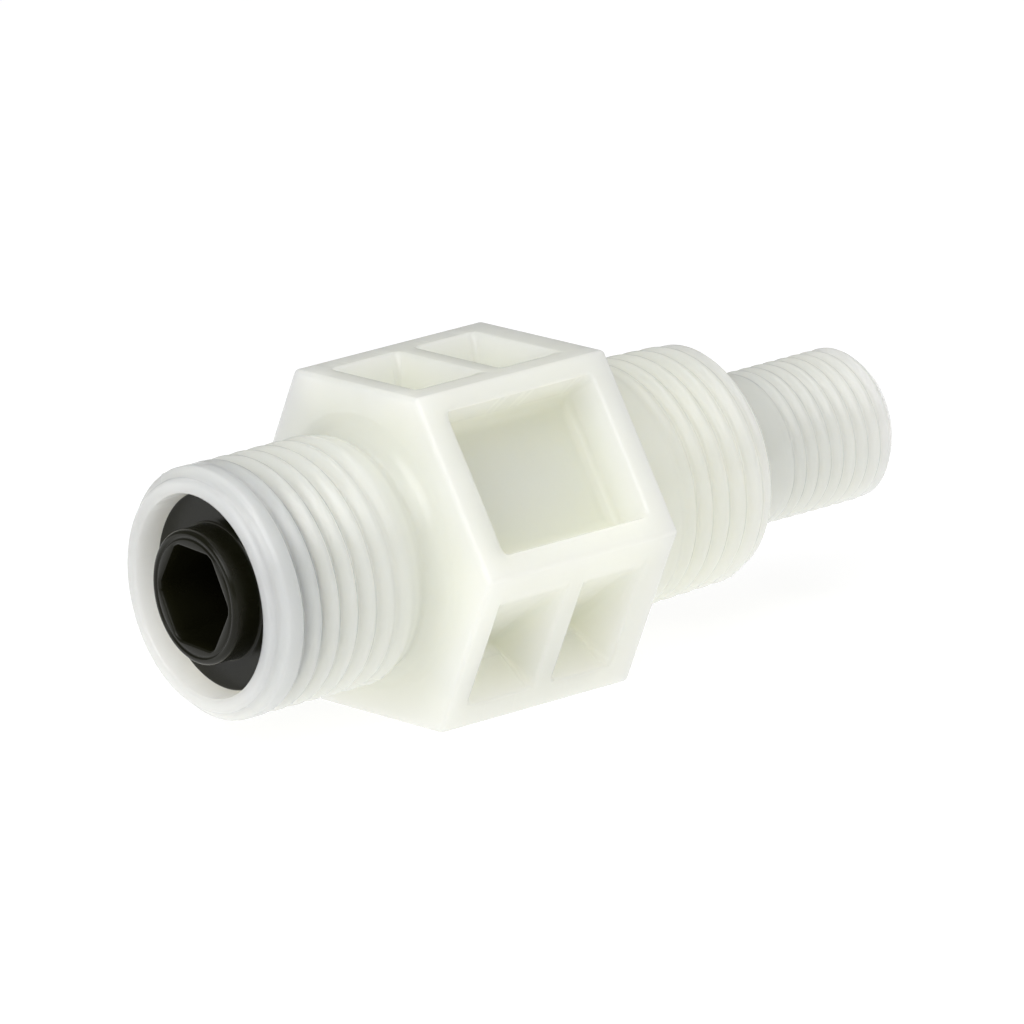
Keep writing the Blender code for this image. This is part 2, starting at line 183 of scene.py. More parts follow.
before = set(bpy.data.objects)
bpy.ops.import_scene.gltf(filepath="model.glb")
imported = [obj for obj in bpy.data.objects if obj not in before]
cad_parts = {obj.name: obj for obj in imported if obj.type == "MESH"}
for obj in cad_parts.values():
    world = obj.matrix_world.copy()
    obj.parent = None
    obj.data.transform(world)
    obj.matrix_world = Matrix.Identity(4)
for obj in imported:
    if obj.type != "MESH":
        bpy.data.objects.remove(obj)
cad_low, cad_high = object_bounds()
_, body_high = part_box("valve_body")
ORIGIN_X = body_high.x - TIP_END * MM


# ---------------------------------------------------------------- mesh making

def place(x, radius, angle):
    """Points in metres at this axial place, radius and angle about the axis; angle pi is straight up."""
    x, radius, angle = np.broadcast_arrays(x, radius, angle)
    return np.stack([ORIGIN_X + x * MM, radius * np.sin(angle) * MM, -radius * np.cos(angle) * MM], -1)


def loft(name, rings, body, node, material, closed=True):
    """One smooth mesh through rings of equal length. A closed loft joins its last ring to its first."""
    points = np.stack(rings)
    count, around = points.shape[:2]
    i = np.arange(count if closed else count - 1)[:, None]
    j = np.arange(around)[None, :]
    nxt_i = (i + 1) % count
    nxt_j = (j + 1) % around
    quads = np.stack(
        [i * around + j, i * around + nxt_j, nxt_i * around + nxt_j, nxt_i * around + j], -1
    ).reshape(-1, 4)
    flat = points.reshape(-1, 3)
    a, b, c, d = (flat[quads[:, k]] for k in range(4))
    volume = np.einsum("ij,ij->i", a, np.cross(b, c)).sum() + np.einsum("ij,ij->i", a, np.cross(c, d)).sum()
    if volume < 0:
        quads = quads[:, ::-1]
    mesh = bpy.data.meshes.new(name)
    mesh.from_pydata(flat.tolist(), [], quads.tolist())
    mesh.update()
    return finish_piece(name, mesh, body, node, material)


def finish_piece(name, mesh, body, node, material):
    mesh.shade_smooth()
    mesh.materials.append(material)
    obj = bpy.data.objects.new(name, mesh)
    bpy.context.scene.collection.objects.link(obj)
    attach(obj, body)
    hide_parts(node)
    return obj


def arc(start, end, steps):
    """Angles in radians from start to end degrees, both included."""
    return np.radians(np.linspace(start, end, steps + 1))


def rounded_edge(x, radius, along, out, sweep, angle):
    """Rings round an edge that would be sharp at x and radius.

    A sweep angle of 0 is on the edge's side, and a right angle on its face.
    """
    return [
        place(x + along * (1 - math.sin(t)), radius + out * (1 - math.cos(t)), angle) for t in sweep
    ]


def smooth_max(a, b, soft):
    return 0.5 * (a + b + np.sqrt((a - b) ** 2 + soft**2))


def smooth_min(a, b, soft):
    return 0.5 * (a + b - np.sqrt((a - b) ** 2 + soft**2))


def thread_turns(x, angle, start, pitch):
    """How many turns past a right-hand thread's first crest; whole numbers are crests."""
    return (x - start) / pitch - angle / TAU


def thread_form(turns):
    """A thread's height as a share of its depth: flanks between wide round roots and finer round crests.

    The rounding leaves the roots at 0.15 and the crests at 0.98, so a groove is 0.83 of the named depth.
    """
    away = np.abs(turns - np.round(turns))
    flank = FLANK_TOP - FLANK_FALL * away
    return smooth_min(smooth_max(flank, 0, ROOT_ROUNDING), 1, CREST_ROUNDING)


def smooth_step(value):
    value = np.clip(value, 0, 1)
    return value * value * (3 - 2 * value)


# ---------------------------------------------------------------- the body's sections

def wall_profile(depth):
    """(distance inwards, depth) points of a drafted pocket wall with a rounded mouth and floor fillet."""
    lean = math.pi / 2 - WALL_DRAFT
    mouth = MOUTH_RADIUS * math.tan(lean / 2)
    foot = FLOOR_RADIUS * math.tan(lean / 2)
    base = depth * math.tan(WALL_DRAFT)
    upper = np.linspace(0, lean, 5)
    lower = np.linspace(lean, 0, 7)
    inwards = np.concatenate(
        [-mouth + MOUTH_RADIUS * np.sin(upper), base + foot - FLOOR_RADIUS * np.sin(lower)]
    )
    down = np.concatenate(
        [MOUTH_RADIUS * (1 - np.cos(upper)), depth - FLOOR_RADIUS * (1 - np.cos(lower))]
    )
    return inwards, down


def inside(s, x, s_range, x_range, corner):
    """Distance inwards from the rounded rectangle's edge, negative outside."""
    centre_s, half_s = sum(s_range) / 2, (s_range[1] - s_range[0]) / 2
    centre_x, half_x = sum(x_range) / 2, (x_range[1] - x_range[0]) / 2
    out_s = np.abs(s - centre_s) - (half_s - corner)
    out_x = np.abs(x - centre_x) - (half_x - corner)
    beyond = np.hypot(np.maximum(out_s, 0), np.maximum(out_x, 0))
    return corner - beyond - np.minimum(np.maximum(out_s, out_x), 0)


def wide_depth(s, x):
    inwards, down = wall_profile(WIDE_DEPTH)
    return np.interp(inside(s, x, WIDE_S, WIDE_Z, PLAN_RADIUS), inwards, down)


def split_depth(s, x):
    """Two wedge pockets, deepest at SPLIT_DEEP_S and running out to the flat at SPLIT_SHALLOW_S."""
    rise = SPLIT_DEPTH / (SPLIT_SHALLOW_S - SPLIT_DEEP_S)
    level = (SPLIT_SHALLOW_S - s) * rise
    soft = np.clip((level + RUN_OUT) ** 2 / (4 * RUN_OUT), 0, None) * (level > -RUN_OUT)
    floor = np.where(level > RUN_OUT, level, soft)
    lean = math.pi / 2 - WALL_DRAFT
    foot = FLOOR_RADIUS * math.tan(lean / 2)
    inwards, down = wall_profile(3 * SPLIT_DEPTH)
    total = 0
    for x_range in SPLIT_Z:
        edge = inside(s, x, (SPLIT_DEEP_S, 3 * HALF_FLAT), x_range, PLAN_RADIUS)
        wall = np.interp(edge, inwards, down)
        share = np.clip((edge - floor * math.tan(WALL_DRAFT)) / foot, 0, 1)
        fillet = FLOOR_RADIUS * (1 - np.sqrt(1 - (1 - share) ** 2))
        fillet = fillet * np.clip(floor / (2 * FLOOR_RADIUS), 0, 1)
        total = total + np.maximum(0, np.minimum(wall, floor - fillet))
    return total


def merged(values, least):
    """Sorted values with those closer than least left out."""
    kept = []
    for value in sorted(values):
        if not kept or value - kept[-1] > least:
            kept.append(float(value))
    return kept


def pocket_offsets(depth):
    return list(wall_profile(depth)[0])


def sector_samples(kind):
    """Sideways places across one flat, dense at its pocket walls; every flat gets the same number."""
    inner = HALF_FLAT - CORNER_RADIUS * math.tan(math.radians(30))
    if kind == "wide":
        near = [WIDE_S[0] + d for d in pocket_offsets(WIDE_DEPTH)]
        far = [WIDE_S[1] - d for d in pocket_offsets(WIDE_DEPTH)]
        floor = np.linspace(max(near), min(far), 10)[1:-1]
        samples = near + far + list(floor)
    else:
        walls = [SPLIT_DEEP_S + d for d in pocket_offsets(SPLIT_DEPTH)]
        floor = np.linspace(max(walls), SPLIT_SHALLOW_S - 0.9, 14)[1:]
        out = SPLIT_SHALLOW_S + np.array([-0.6, -0.3, 0.0, 0.3, 0.6, 0.9, 1.4])
        samples = walls + list(floor) + list(out)
    samples = sorted(samples)
    if kind == "mirror":
        samples = [-s for s in reversed(samples)]
    return samples, inner


def section_arrays():
    """Each point round the fitting: its flat's turn, sideways place, corner-arc angle and kind of flat."""
    turns, sides, corner, kinds = [], [], [], []
    for index in range(6):
        kind = ("split", "wide", "mirror")[index % 3]
        samples, inner = sector_samples(kind)
        arcs = [-20, -10, 0]
        row = [(-inner, a) for a in arcs] + [(s, None) for s in samples]
        row += [(inner, a) for a in (0, 10, 20, 30)]
        for s, a in row:
            turns.append(math.pi + index * math.radians(60))
            sides.append(s)
            corner.append(math.nan if a is None else math.radians(a))
            kinds.append(index % 3)
    return np.array(turns), np.array(sides), np.array(corner), np.array(kinds)


TURN, SIDE, CORNER, KIND = section_arrays()


def outline(inset):
    """(sideways, outward) of the rounded hexagon drawn in by inset."""
    arc_part = ~np.isnan(CORNER)
    angle = np.where(arc_part, CORNER, 0)
    radius = CORNER_RADIUS - inset
    inner = (FLAT - CORNER_RADIUS) * math.tan(math.radians(30))
    side = np.where(arc_part, np.sign(SIDE) * inner + radius * np.sin(angle), SIDE)
    out = np.where(arc_part, FLAT - CORNER_RADIUS + radius * np.cos(angle), FLAT - inset)
    return side, out


def hex_ring(x, side, out):
    """A ring of points given in their own flats' frames."""
    y = out * np.sin(TURN) + side * np.cos(TURN)
    z = -out * np.cos(TURN) + side * np.sin(TURN)
    return np.stack([np.broadcast_to(ORIGIN_X + x * MM, y.shape), y * MM, z * MM], -1)


_side0, _out0 = outline(0)
ANGLE = TURN + np.arctan2(_side0, _out0)
_from_parting = (ANGLE - math.radians(150) + math.pi / 2) % math.pi - math.pi / 2
PARTING = np.isclose(np.abs(_from_parting), 0, atol=1e-4)


def hull_crest(x):
    return HULL_CREST + HULL_TAPER * (HULL_END - x)


def hose_radius(x):
    """The plain nose, a full first crest behind it, and grooves that grow shallow towards the shoulder."""
    turns = thread_turns(x, ANGLE, HOSE_START, HOSE_PITCH)
    cut = 1 - thread_form(turns)
    cut = np.where(turns < 0, 0, cut)
    cut = np.where(turns < 1, cut * smooth_step((ANGLE - ANGLE.min()) / FIRST_GROOVE), cut)
    cut = cut * smooth_step((HOSE_END - x) / GROOVE_FADE)
    root = HOSE_CREST - HOSE_DEPTH
    thread = root + HOSE_DEPTH * (1 - cut) * smooth_step((HOSE_END - x) / HOSE_FADE)
    lead = smooth_step((x - NOSE_BACK) / HOSE_LEAD)
    return NOSE_RADIUS + (thread - NOSE_RADIUS) * lead + PARTING_RIDGE * PARTING


def hull_radius(x):
    crest = hull_crest(x)
    form = thread_form(thread_turns(x, ANGLE + math.pi / 2, HULL_START + HULL_PITCH / 4, HULL_PITCH))
    radius = crest - HULL_DEPTH * (1 - form) * smooth_step((x - HULL_START) / HULL_FADE)
    chamfer = crest - HULL_CHAMFER + (HULL_END - x)
    return smooth_min(radius, chamfer, HULL_CHAMFER_ROUNDING) + PARTING_RIDGE * PARTING


def tip_radius(x):
    form = thread_form(thread_turns(x, ANGLE, TIP_START, TIP_PITCH))
    radius = TIP_CREST - TIP_DEPTH * (1 - form) * smooth_step((x - TIP_START) / TIP_FADE)
    chamfer = TIP_CREST - TIP_CHAMFER + (TIP_END - x)
    return smooth_min(radius, chamfer, TIP_CHAMFER_ROUNDING) + TIP_PARTING_RIDGE * PARTING


def flat_height(x):
    """How far out each point of the hexagon's side stands at x, pockets taken off."""
    side, out = outline(0)
    depth = np.zeros(len(out))
    flat_part = np.isnan(CORNER)
    for kind, mirror, pocket in ((0, 1, split_depth), (1, 1, wide_depth), (2, -1, split_depth)):
        chosen = flat_part & (KIND == kind)
        depth[chosen] = pocket(mirror * side[chosen], np.full(chosen.sum(), x))
    return side, out - depth


def hex_stations():
    """Axial places of the rings along the hexagon's sides, dense at the pockets' end walls."""
    places = list(np.linspace(END_EDGE, HEX_LENGTH - END_EDGE, 21))
    for depth, spans in ((WIDE_DEPTH, [WIDE_Z]), (SPLIT_DEPTH, SPLIT_Z), (2.5, SPLIT_Z)):
        for low, high in spans:
            places += [low + d for d in pocket_offsets(depth)]
            places += [high - d for d in pocket_offsets(depth)]
    return [p for p in merged(places, 0.09) if END_EDGE < p < HEX_LENGTH - END_EDGE]


def hex_end_rings(x, inwards):
    """The rounded edge of one end of the hexagon, from its sides to its end face at x."""
    rings = []
    for psi in arc(90, 0, 4):
        side, out = outline(END_EDGE * (1 - math.sin(psi)))
        rings.append(hex_ring(x + inwards * END_EDGE * (1 - math.cos(psi)), side, out))
    return rings


def hex_rings():
    side_rings = [hex_ring(x, *flat_height(x)) for x in reversed(hex_stations())]
    return hex_end_rings(HEX_LENGTH, -1)[::-1] + side_rings + hex_end_rings(0, 1)


def between(ring_a, ring_b, shares):
    return [ring_a * (1 - t) + ring_b * t for t in shares]


def outer_rings():
    """The outside of the body, from the tip's end face down to the nose's end face."""
    face = (OUTLET_RADIUS + 0.2, OUTLET_RADIUS + 0.35, TIP_CREST - TIP_CHAMFER - 0.25)
    rings = [place(TIP_END, r, ANGLE) for r in face]
    steps = np.arange(TIP_END, TIP_START - 0.6, -TIP_PITCH / TIP_RINGS)
    rings += [place(x, tip_radius(x), ANGLE) for x in (*steps, 37.5, 36.2, 35.6)]
    rings += rounded_edge(HULL_END, TIP_CREST, NECK_FILLET, NECK_FILLET, arc(0, 90, 3), ANGLE)
    rings += [place(HULL_END, r, ANGLE) for r in (7.2, 8.8)]
    steps = np.arange(HULL_END, HULL_START - 0.6, -HULL_PITCH / HULL_RINGS)
    rings += [place(x, hull_radius(x), ANGLE) for x in (*steps, 22.0, 20.9, 20.2)]
    rings += rounded_edge(HEX_LENGTH, hull_crest(HEX_LENGTH), HULL_FILLET, HULL_FILLET, arc(0, 90, 4), ANGLE)
    block = hex_rings()
    rings += between(rings[-1], block[0], (0.1, 0.5, 0.9))
    rings += block
    root = HOSE_CREST - HOSE_DEPTH
    dome = []
    for t in arc(90, 0, 10):
        x = -SHOULDER_FILLET + SHOULDER_FILLET * math.sin(t)
        radius = root + SHOULDER_FILLET * (1 - math.cos(t))
        dome.append((x, radius))
    first = place(*dome[0], ANGLE)
    rings += between(block[-1], first, (0.1, 0.5, 0.9))
    step = HOSE_PITCH / HOSE_RINGS
    turned = [x for x, _ in dome] + list(np.arange(-SHOULDER_FILLET, 0, step))
    for x in merged(turned, 0.07)[::-1]:
        base = root + SHOULDER_FILLET - math.sqrt(max(0, SHOULDER_FILLET**2 - (x + SHOULDER_FILLET) ** 2))
        radius = smooth_max(base, hose_radius(x), SHOULDER_BLEND)
        rings.append(place(x, radius, ANGLE))
    steps = np.arange(-SHOULDER_FILLET - step, NOSE_END + NOSE_EDGE, -step)
    rings += [place(x, hose_radius(x), ANGLE) for x in steps]
    rings += rounded_edge(NOSE_END, NOSE_RADIUS, NOSE_EDGE, -NOSE_EDGE, arc(0, 90, 5), ANGLE)
    rings.append(place(NOSE_END, RECESS_RADIUS + 0.3, ANGLE))
    return rings


def rounded_bore(points, radius):
    """A bore's (x, radius) corners, each turned into a small arc."""
    rounded = []
    for index, point in enumerate(points):
        here = np.array(point, float)
        if index in (0, len(points) - 1):
            rounded.append(here)
            continue
        before = np.array(points[index - 1], float) - here
        after = np.array(points[index + 1], float) - here
        reach_a = min(radius, 0.4 * np.linalg.norm(before))
        reach_b = min(radius, 0.4 * np.linalg.norm(after))
        a = here + before / np.linalg.norm(before) * reach_a
        b = here + after / np.linalg.norm(after) * reach_b
        for t in (0, 0.5, 1):
            rounded.append((1 - t) ** 2 * a + 2 * t * (1 - t) * here + t**2 * b)
    return rounded


def bore_rings():
    """The stepped bore, from the nose's mouth to the tip's mouth."""
    mouth = [(NOSE_END, RECESS_RADIUS + 0.25), (NOSE_END + 0.08, RECESS_RADIUS + 0.06)]
    recess = [
        (NOSE_END + 0.25, RECESS_RADIUS),
        (-14.0, RECESS_RADIUS),
        (RECESS_FLOOR, RECESS_RADIUS),
        (RECESS_FLOOR, FEMALE_BORE),
        (RECESS_FLOOR + 0.4, FEMALE_BORE),
    ]
    rings = [place(x, r, ANGLE) for x, r in mouth + rounded_bore(recess, 0.2)]
    for x in np.arange(RECESS_FLOOR + 0.5, FEMALE_END - 0.2, RETAINER_PITCH / FEMALE_RINGS):
        form = thread_form(thread_turns(x, ANGLE, RETAINER_THREAD[0] + RETAINER_PITCH / 2, RETAINER_PITCH))
        share = np.clip(min((x - RECESS_FLOOR) / 1.2, (FEMALE_END - x) / 0.8), 0, 1)
        rings.append(place(x, FEMALE_BORE - FEMALE_DEPTH * form * share, ANGLE))
    inner = [
        (FEMALE_END - 0.15, FEMALE_BORE),
        (FEMALE_END, FEMALE_BORE),
        (FEMALE_END, CHAMBER_RADIUS),
        (CHAMBER_END, CHAMBER_RADIUS),
        (CHAMBER_END + 0.6, SPRING_BORE),
        (SPRING_SEAT, SPRING_BORE),
        (SPRING_SEAT, OUTLET_RADIUS),
        (TIP_END - 20, OUTLET_RADIUS),
        (TIP_END - 0.4, OUTLET_RADIUS),
    ]
    rings += [place(x, r, ANGLE) for x, r in rounded_bore(inner, 0.2)]
    rings.append(place(TIP_END - 0.15, OUTLET_RADIUS + 0.03, ANGLE))
    rings.append(place(TIP_END - 0.04, OUTLET_RADIUS + 0.1, ANGLE))
    return rings


# ---------------------------------------------------------------- the insert

def socket_radius(angle, apothem):
    """A hexagon's outline with rounded corners, as a radius at each angle."""
    local = (angle - SOCKET_TURN + math.pi / 6) % (math.pi / 3) - math.pi / 6
    straight = apothem / np.cos(local)
    corner = math.radians(30)
    blunt = (apothem / math.cos(corner) - SOCKET_CORNER) / np.cos(np.abs(local) - corner)
    return smooth_min(straight, blunt, 0.05)


def socket_angles():
    """Angles that gather at the socket's corners."""
    step = math.pi / 3
    share = np.linspace(-1, 1, 24, endpoint=False)
    bent = np.sign(share) * (1 - (1 - np.abs(share)) ** 1.6)
    return np.concatenate([SOCKET_TURN + k * step + bent * step / 2 for k in range(6)])


def retainer_rings():
    """The insert's outside from its inner end to the boss, then down the key socket and out at the seat."""
    angle = socket_angles()
    rings = [place(RETAINER_END, r, angle) for r in (SEAT_POCKET + 0.15, RETAINER_CORE - 0.35)]
    rings += rounded_edge(RETAINER_END, RETAINER_CORE, -0.25, -0.25, arc(90, 0, 3), angle)
    low, high = RETAINER_THREAD
    for x in np.arange(high + 0.4, low - 0.5, -RETAINER_PITCH / RETAINER_RINGS):
        form = thread_form(thread_turns(x, angle, low, RETAINER_PITCH))
        share = np.clip(min((x - low + 0.5) / 1.0, (high + 0.5 - x) / 1.0), 0, 1)
        rings.append(place(x, RETAINER_CORE + RETAINER_DEPTH * form * share, angle))
    rings += [place(x, RETAINER_CORE, angle) for x in (-12.0, FLANGE_BACK + 0.25)]
    rings += [place(FLANGE_BACK, r, angle) for r in (RETAINER_CORE + 0.25, FLANGE_RADIUS - 0.4)]
    edge = 0.2
    rings += rounded_edge(FLANGE_BACK, FLANGE_RADIUS, -edge, -edge, arc(90, 0, 3), angle)
    rings += rounded_edge(FLANGE_FACE, FLANGE_RADIUS, edge, -edge, arc(0, 90, 3), angle)
    foot = 0.25
    rings += [place(FLANGE_FACE, r, angle) for r in (FLANGE_RADIUS - 0.4, BOSS_RADIUS + foot + 0.2)]
    rings += rounded_edge(FLANGE_FACE, BOSS_RADIUS, -foot, foot, arc(90, 0, 4), angle)
    rings += [place(x, BOSS_RADIUS, angle) for x in (-15.8, BOSS_END + BOSS_EDGE + 0.15)]
    rings += rounded_edge(BOSS_END, BOSS_RADIUS, BOSS_EDGE, -BOSS_EDGE, arc(0, 90, 6), angle)
    for radius in np.linspace(GROOVE_RADIUS + GROOVE_HALF_WIDTH, GROOVE_RADIUS - GROOVE_HALF_WIDTH, 7):
        sink = GROOVE_SINK * math.cos((radius - GROOVE_RADIUS) / GROOVE_HALF_WIDTH * math.pi / 2) ** 2
        rings.append(place(BOSS_END + sink, radius, angle))
    bevel = 0.12
    outer = socket_radius(angle, SOCKET_APOTHEM + bevel + 0.05)
    rings.append(place(BOSS_END, outer, angle))
    rings.append(place(BOSS_END + 0.02, socket_radius(angle, SOCKET_APOTHEM + bevel), angle))
    rings.append(place(BOSS_END + 0.06, socket_radius(angle, SOCKET_APOTHEM + 0.05), angle))
    rings.append(place(BOSS_END + 0.14, socket_radius(angle, SOCKET_APOTHEM), angle))
    wall = socket_radius(angle, SOCKET_APOTHEM)
    rings += [place(x, wall, angle) for x in (-16.5, -14.0, -11.0, SOCKET_FLOOR - 0.1)]
    rings.append(place(SOCKET_FLOOR, wall - 0.1, angle))
    rings += [place(SOCKET_FLOOR, ORIFICE + 0.15, angle), place(SOCKET_FLOOR + 0.1, ORIFICE, angle)]
    seat = RETAINER_END - SEAT_POCKET_DEPTH
    rings += [place(seat - 0.1, ORIFICE, angle), place(seat, ORIFICE + 0.1, angle)]
    rings += [place(seat, SEAT_POCKET - 0.1, angle), place(seat + 0.1, SEAT_POCKET, angle)]
    rings.append(place(RETAINER_END - 0.12, SEAT_POCKET, angle))
    rings.append(place(RETAINER_END - 0.03, SEAT_POCKET + 0.05, angle))
    return rings


# ---------------------------------------------------------------- seals, ball and spring

def seal_rings(seal):
    """An O-ring with the fine flash line that its mould leaves inside and outside."""
    radius, wire, x = seal
    angle = np.linspace(0, TAU, 96, endpoint=False)
    rings = []
    for turn in np.linspace(0, TAU, 32, endpoint=False):
        flash = 0.02 * math.exp(-((math.sin(turn) / 0.12) ** 2))
        reach = wire + flash
        rings.append(place(x + reach * math.sin(turn), radius + reach * math.cos(turn), angle))
    return rings


def ball_mesh(centre_x):
    """A ball made from a subdivided cube, whose quads stay even all over it."""
    steps = 20
    grid = np.tan(np.linspace(-1, 1, steps + 1) * math.pi / 4)
    points, faces = [], []
    for axis in range(3):
        for sign in (-1, 1):
            start = len(points)
            for u in grid:
                for v in grid:
                    vector = np.zeros(3)
                    vector[axis] = sign
                    vector[(axis + 1) % 3] = u
                    vector[(axis + 2) % 3] = v * sign
                    points.append(vector / np.linalg.norm(vector))
            for i in range(steps):
                for j in range(steps):
                    corner = start + i * (steps + 1) + j
                    faces.append((corner, corner + steps + 1, corner + steps + 2, corner + 1))
    keys, index = np.unique(np.round(np.array(points), 6), axis=0, return_inverse=True)
    faces = index.reshape(-1)[np.array(faces)]
    mesh = bpy.data.meshes.new("ball")
    placed = keys * BALL_RADIUS * MM + np.array([centre_x, 0, 0])
    mesh.from_pydata(placed.tolist(), [], faces.tolist())
    mesh.update()
    return mesh


def spring_mesh(low_x, high_x):
    """A compression spring with closed ends that are ground flat."""
    around, per_turn = 14, 40
    count = SPRING_TURNS * per_turn + 1
    turn = np.arange(count) / per_turn
    low = (low_x - ORIGIN_X) / MM + SPRING_WIRE
    high = (high_x - ORIGIN_X) / MM - SPRING_WIRE
    open_pitch = (high - low - 2 * SPRING_END_PITCH) / (SPRING_TURNS - 2)
    knots = [0, 1, SPRING_TURNS - 1, SPRING_TURNS]
    heights = [low, low + SPRING_END_PITCH, high - SPRING_END_PITCH, high]
    along = np.interp(turn, knots, heights)
    window = np.hanning(15)
    padded = np.concatenate([2 * along[0] - along[7:0:-1], along, 2 * along[-1] - along[-2:-9:-1]])
    along = np.convolve(padded, window / window.sum(), "valid")
    lean = math.atan2(open_pitch, TAU * SPRING_RADIUS)
    rings = []
    for step in range(count):
        angle = turn[step] * TAU
        phi = np.linspace(0, TAU, around, endpoint=False)
        radial = SPRING_RADIUS + SPRING_WIRE * np.cos(phi)
        x = along[step] + SPRING_WIRE * np.sin(phi) / math.cos(lean)
        x = np.clip(x, low - SPRING_GROUND * SPRING_WIRE, high + SPRING_GROUND * SPRING_WIRE)
        rings.append(place(x, radial, np.full(around, angle)))
    points = np.concatenate(rings)
    i = np.arange(count - 1)[:, None] * around
    j = np.arange(around)[None, :]
    nxt = (j + 1) % around
    quads = np.stack([i + j, i + nxt, i + around + nxt, i + around + j], -1).reshape(-1, 4)
    last = (count - 1) * around
    faces = quads.tolist() + [list(range(around))[::-1], list(range(last, last + around))]
    mesh = bpy.data.meshes.new("spring")
    mesh.from_pydata(points.tolist(), [], faces)
    mesh.update()
    return mesh


# ---------------------------------------------------------------- materials

def node_material(name):
    material = bpy.data.materials.new(name)
    material.use_nodes = True
    tree = material.node_tree
    shader = tree.nodes["Principled BSDF"]
    coordinates = tree.nodes.new("ShaderNodeTexCoord")
    return material, tree, shader, coordinates


def noise(tree, coordinates, scale, detail, stretch=(1, 1, 1), roughness=0.5):
    """Solid noise with scale in features per metre."""
    mapping = tree.nodes.new("ShaderNodeMapping")
    mapping.inputs["Scale"].default_value = stretch
    tree.links.new(coordinates.outputs["Object"], mapping.inputs["Vector"])
    node = tree.nodes.new("ShaderNodeTexNoise")
    node.inputs["Scale"].default_value = scale
    node.inputs["Detail"].default_value = detail
    node.inputs["Roughness"].default_value = roughness
    tree.links.new(mapping.outputs["Vector"], node.inputs["Vector"])
    return node.outputs["Fac"]


def ramp(tree, value, stops):
    node = tree.nodes.new("ShaderNodeValToRGB")
    elements = node.color_ramp.elements
    elements[0].position, elements[0].color = stops[0][0], (*stops[0][1], 1)
    elements[1].position, elements[1].color = stops[-1][0], (*stops[-1][1], 1)
    for position, colour in stops[1:-1]:
        elements.new(position).color = (*colour, 1)
    tree.links.new(value, node.inputs["Fac"])
    return node.outputs["Color"]


def spread(tree, value, low, high):
    node = tree.nodes.new("ShaderNodeMapRange")
    node.inputs["From Min"].default_value = 0.3
    node.inputs["From Max"].default_value = 0.7
    node.inputs["To Min"].default_value = low
    node.inputs["To Max"].default_value = high
    tree.links.new(value, node.inputs["Value"])
    return node.outputs["Result"]


def bump(tree, shader, height, strength, distance, below=None):
    node = tree.nodes.new("ShaderNodeBump")
    node.inputs["Strength"].default_value = strength
    node.inputs["Distance"].default_value = distance
    tree.links.new(height, node.inputs["Height"])
    if below:
        tree.links.new(below, node.inputs["Normal"])
    tree.links.new(node.outputs["Normal"], shader.inputs["Normal"])
    return node.outputs["Normal"]


def milky_plastic():
    """Natural translucent moulding: cloudy, softly glossy, with faint flow marks."""
    material, tree, shader, coordinates = node_material("milky_plastic")
    cloud = noise(tree, coordinates, 90, 3)
    tint = ramp(tree, cloud, [(0.3, (0.834, 0.844, 0.714)), (0.7, (0.849, 0.859, 0.734))])
    tree.links.new(tint, shader.inputs["Base Color"])
    shader.inputs["Subsurface Weight"].default_value = 1.0
    shader.inputs["Subsurface Radius"].default_value = (1.0, 0.95, 0.86)
    shader.inputs["Subsurface Scale"].default_value = 0.016
    shader.inputs["Specular IOR Level"].default_value = 0.45
    shader.inputs["IOR"].default_value = 1.5
    fine = noise(tree, coordinates, 420, 4)
    tree.links.new(spread(tree, fine, 0.20, 0.27), shader.inputs["Roughness"])
    flow = noise(tree, coordinates, 160, 2, stretch=(0.25, 1, 1))
    skin = bump(tree, shader, flow, 0.25, 0.00005)
    bump(tree, shader, noise(tree, coordinates, 2600, 3), 0.2, 0.00001, skin)
    return material


def black_plastic():
    """Dark moulded plastic, semi-gloss, a little uneven."""
    material, tree, shader, coordinates = node_material("black_plastic")
    cloud = noise(tree, coordinates, 260, 4)
    tint = ramp(tree, cloud, [(0.3, (0.0060, 0.0060, 0.0025)), (0.7, (0.0085, 0.0085, 0.0038))])
    tree.links.new(tint, shader.inputs["Base Color"])
    shader.inputs["IOR"].default_value = 1.5
    shader.inputs["Specular IOR Level"].default_value = 0.20
    fine = noise(tree, coordinates, 900, 4)
    tree.links.new(spread(tree, fine, 0.18, 0.26), shader.inputs["Roughness"])
    skin = bump(tree, shader, noise(tree, coordinates, 500, 2), 0.3, 0.00003)
    bump(tree, shader, noise(tree, coordinates, 5200, 3), 0.25, 0.00001, skin)
    return material


def black_rubber():
    """The matt moulded rubber of both sealing rings."""
    material, tree, shader, coordinates = node_material("black_rubber")
    bloom = noise(tree, coordinates, 700, 4)
    tint = ramp(tree, bloom, [(0.35, (0.022, 0.022, 0.023)), (0.75, (0.045, 0.044, 0.043))])
    tree.links.new(tint, shader.inputs["Base Color"])
    tree.links.new(spread(tree, bloom, 0.5, 0.68), shader.inputs["Roughness"])
    bump(tree, shader, noise(tree, coordinates, 6000, 3), 0.35, 0.00001)
    return material


def white_ceramic():
    """The polished white ball."""
    material, tree, shader, coordinates = node_material("white_ceramic")
    cloud = noise(tree, coordinates, 500, 3)
    tint = ramp(tree, cloud, [(0.3, (0.84, 0.83, 0.79)), (0.7, (0.89, 0.88, 0.85))])
    tree.links.new(tint, shader.inputs["Base Color"])
    shader.inputs["Subsurface Weight"].default_value = 0.3
    shader.inputs["Subsurface Radius"].default_value = (1.0, 0.8, 0.6)
    shader.inputs["Subsurface Scale"].default_value = 0.0004
    tree.links.new(spread(tree, noise(tree, coordinates, 3000, 4), 0.08, 0.16), shader.inputs["Roughness"])
    bump(tree, shader, noise(tree, coordinates, 1500, 2), 0.1, 0.000005)
    return material


